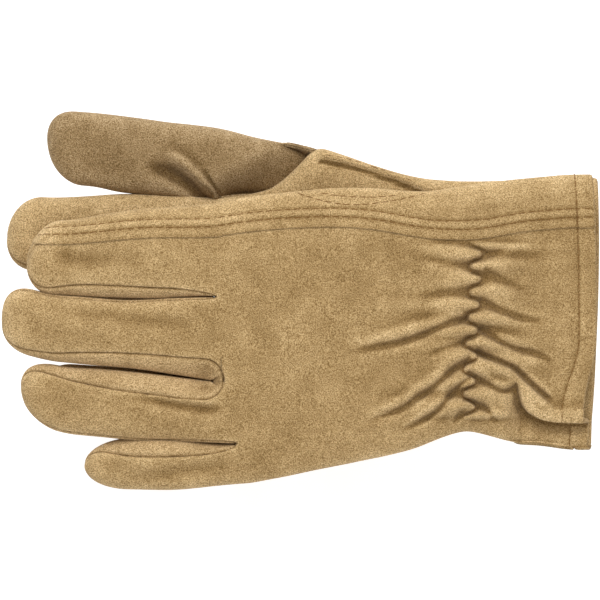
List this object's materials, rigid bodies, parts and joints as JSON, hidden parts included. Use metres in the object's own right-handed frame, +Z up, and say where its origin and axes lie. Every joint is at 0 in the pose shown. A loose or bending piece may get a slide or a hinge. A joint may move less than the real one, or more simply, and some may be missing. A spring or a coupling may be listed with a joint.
{
  "type": "work gloves",
  "caption": "Pair of tan suede work gloves laid palm to palm, with side-walled fingers, lapped double-stitched index seam and an elastic-gathered wrist.",
  "frame": {"origin": "on the resting plane, under the middle of the gathered wrist of the lower glove", "axes": "fingers point along -X, thumbs lie on the +Y side, +Z up out of the resting plane"},
  "size_m": [0.2559, 0.1624, 0.0452],
  "materials": {
    "suede": "napped tan split suede",
    "fourchette_suede": "napped suede, a little darker",
    "thumb_suede": "coarser napped suede, a little darker",
    "thread": "brown twisted sewing thread",
    "elastic": "cream woven elastic tape"
  },
  "bodies": {
    "right_hand": {"right_back_panel": "suede", "right_palm_panel": "suede", "right_wrist_elastic": "elastic", "right_lap_thread_edge": "thread", "right_lap_thread_inner": "thread", "right_thumb_thread": "thread", "right_hem_thread": "thread", "right_elastic_thread": "thread"},
    "right_index": {"right_index_back": "suede", "right_index_palm": "suede", "right_index_lap_thread_edge": "thread", "right_index_lap_thread_inner": "thread", "right_index_outer_fourchette": "fourchette_suede"},
    "right_middle": {"right_middle_back": "suede", "right_middle_palm": "suede", "right_middle_thumbside_fourchette": "fourchette_suede", "right_middle_outer_fourchette": "fourchette_suede"},
    "right_ring": {"right_ring_back": "suede", "right_ring_palm": "suede", "right_ring_thumbside_fourchette": "fourchette_suede", "right_ring_outer_fourchette": "fourchette_suede"},
    "right_little": {"right_little_back": "suede", "right_little_palm": "suede", "right_little_thumbside_fourchette": "fourchette_suede"},
    "right_thumb": {"right_thumb_back": "thumb_suede", "right_thumb_front": "thumb_suede"},
    "left_hand": {"left_back_panel": "suede", "left_palm_panel": "suede", "left_wrist_elastic": "elastic", "left_lap_thread_edge": "thread", "left_lap_thread_inner": "thread", "left_thumb_thread": "thread", "left_hem_thread": "thread", "left_elastic_thread": "thread"},
    "left_index": {"left_index_back": "suede", "left_index_palm": "suede", "left_index_lap_thread_edge": "thread", "left_index_lap_thread_inner": "thread", "left_index_outer_fourchette": "fourchette_suede"},
    "left_middle": {"left_middle_back": "suede", "left_middle_palm": "suede", "left_middle_thumbside_fourchette": "fourchette_suede", "left_middle_outer_fourchette": "fourchette_suede"},
    "left_ring": {"left_ring_back": "suede", "left_ring_palm": "suede", "left_ring_thumbside_fourchette": "fourchette_suede", "left_ring_outer_fourchette": "fourchette_suede"},
    "left_little": {"left_little_back": "suede", "left_little_palm": "suede", "left_little_thumbside_fourchette": "fourchette_suede"},
    "left_thumb": {"left_thumb_back": "thumb_suede", "left_thumb_front": "thumb_suede"}
  },
  "joints": [
    {"name": "left_glove_lift", "type": "slide", "parent": "right_hand", "child": "left_hand", "axis": [0, 0, 1], "range_m": [0, 0.12]},
    {"name": "left_index_flex", "type": "hinge", "parent": "left_hand", "child": "left_index", "pos_m": [-0.11443, 0.02131, 0.0438], "axis": [-0.0414, 0.9991, 0], "range_deg": [0, 60]},
    {"name": "left_middle_flex", "type": "hinge", "parent": "left_hand", "child": "left_middle", "pos_m": [-0.10913, -0.01718, 0.0438], "axis": [0.0643, 0.9979, 0], "range_deg": [0, 60]},
    {"name": "left_ring_flex", "type": "hinge", "parent": "left_hand", "child": "left_ring", "pos_m": [-0.10372, -0.04888, 0.0438], "axis": [0.0751, 0.9972, 0], "range_deg": [0, 60]},
    {"name": "left_little_flex", "type": "hinge", "parent": "left_hand", "child": "left_little", "pos_m": [-0.09959, -0.07047, 0.0438], "axis": [-0.0103, 0.9999, 0], "range_deg": [0, 60]},
    {"name": "right_index_flex", "type": "hinge", "parent": "right_hand", "child": "right_index", "pos_m": [-0.11197, 0.02279, 0], "axis": [-0.0757, -0.9971, 0], "range_deg": [0, 45]},
    {"name": "right_middle_flex", "type": "hinge", "parent": "right_hand", "child": "right_middle", "pos_m": [-0.10855, -0.01733, 0], "axis": [-0.0972, -0.9953, 0], "range_deg": [0, 45]},
    {"name": "right_ring_flex", "type": "hinge", "parent": "right_hand", "child": "right_ring", "pos_m": [-0.10354, -0.04896, 0], "axis": [-0.0896, -0.996, 0], "range_deg": [0, 45]},
    {"name": "right_little_flex", "type": "hinge", "parent": "right_hand", "child": "right_little", "pos_m": [-0.10043, -0.06911, 0], "axis": [0.0447, -0.999, 0], "range_deg": [0, 45]},
    {"name": "right_thumb_lift", "type": "hinge", "parent": "right_hand", "child": "right_thumb", "pos_m": [-0.07634, 0.05627, 0.0162], "axis": [0.1019, 0.9948, 0], "range_deg": [0, 45]},
    {"name": "left_thumb_swing", "type": "hinge", "parent": "left_hand", "child": "left_thumb", "pos_m": [-0.05, 0.038, 0.0219], "axis": [0, 0, -1], "range_deg": [0, 100]}
  ]
}
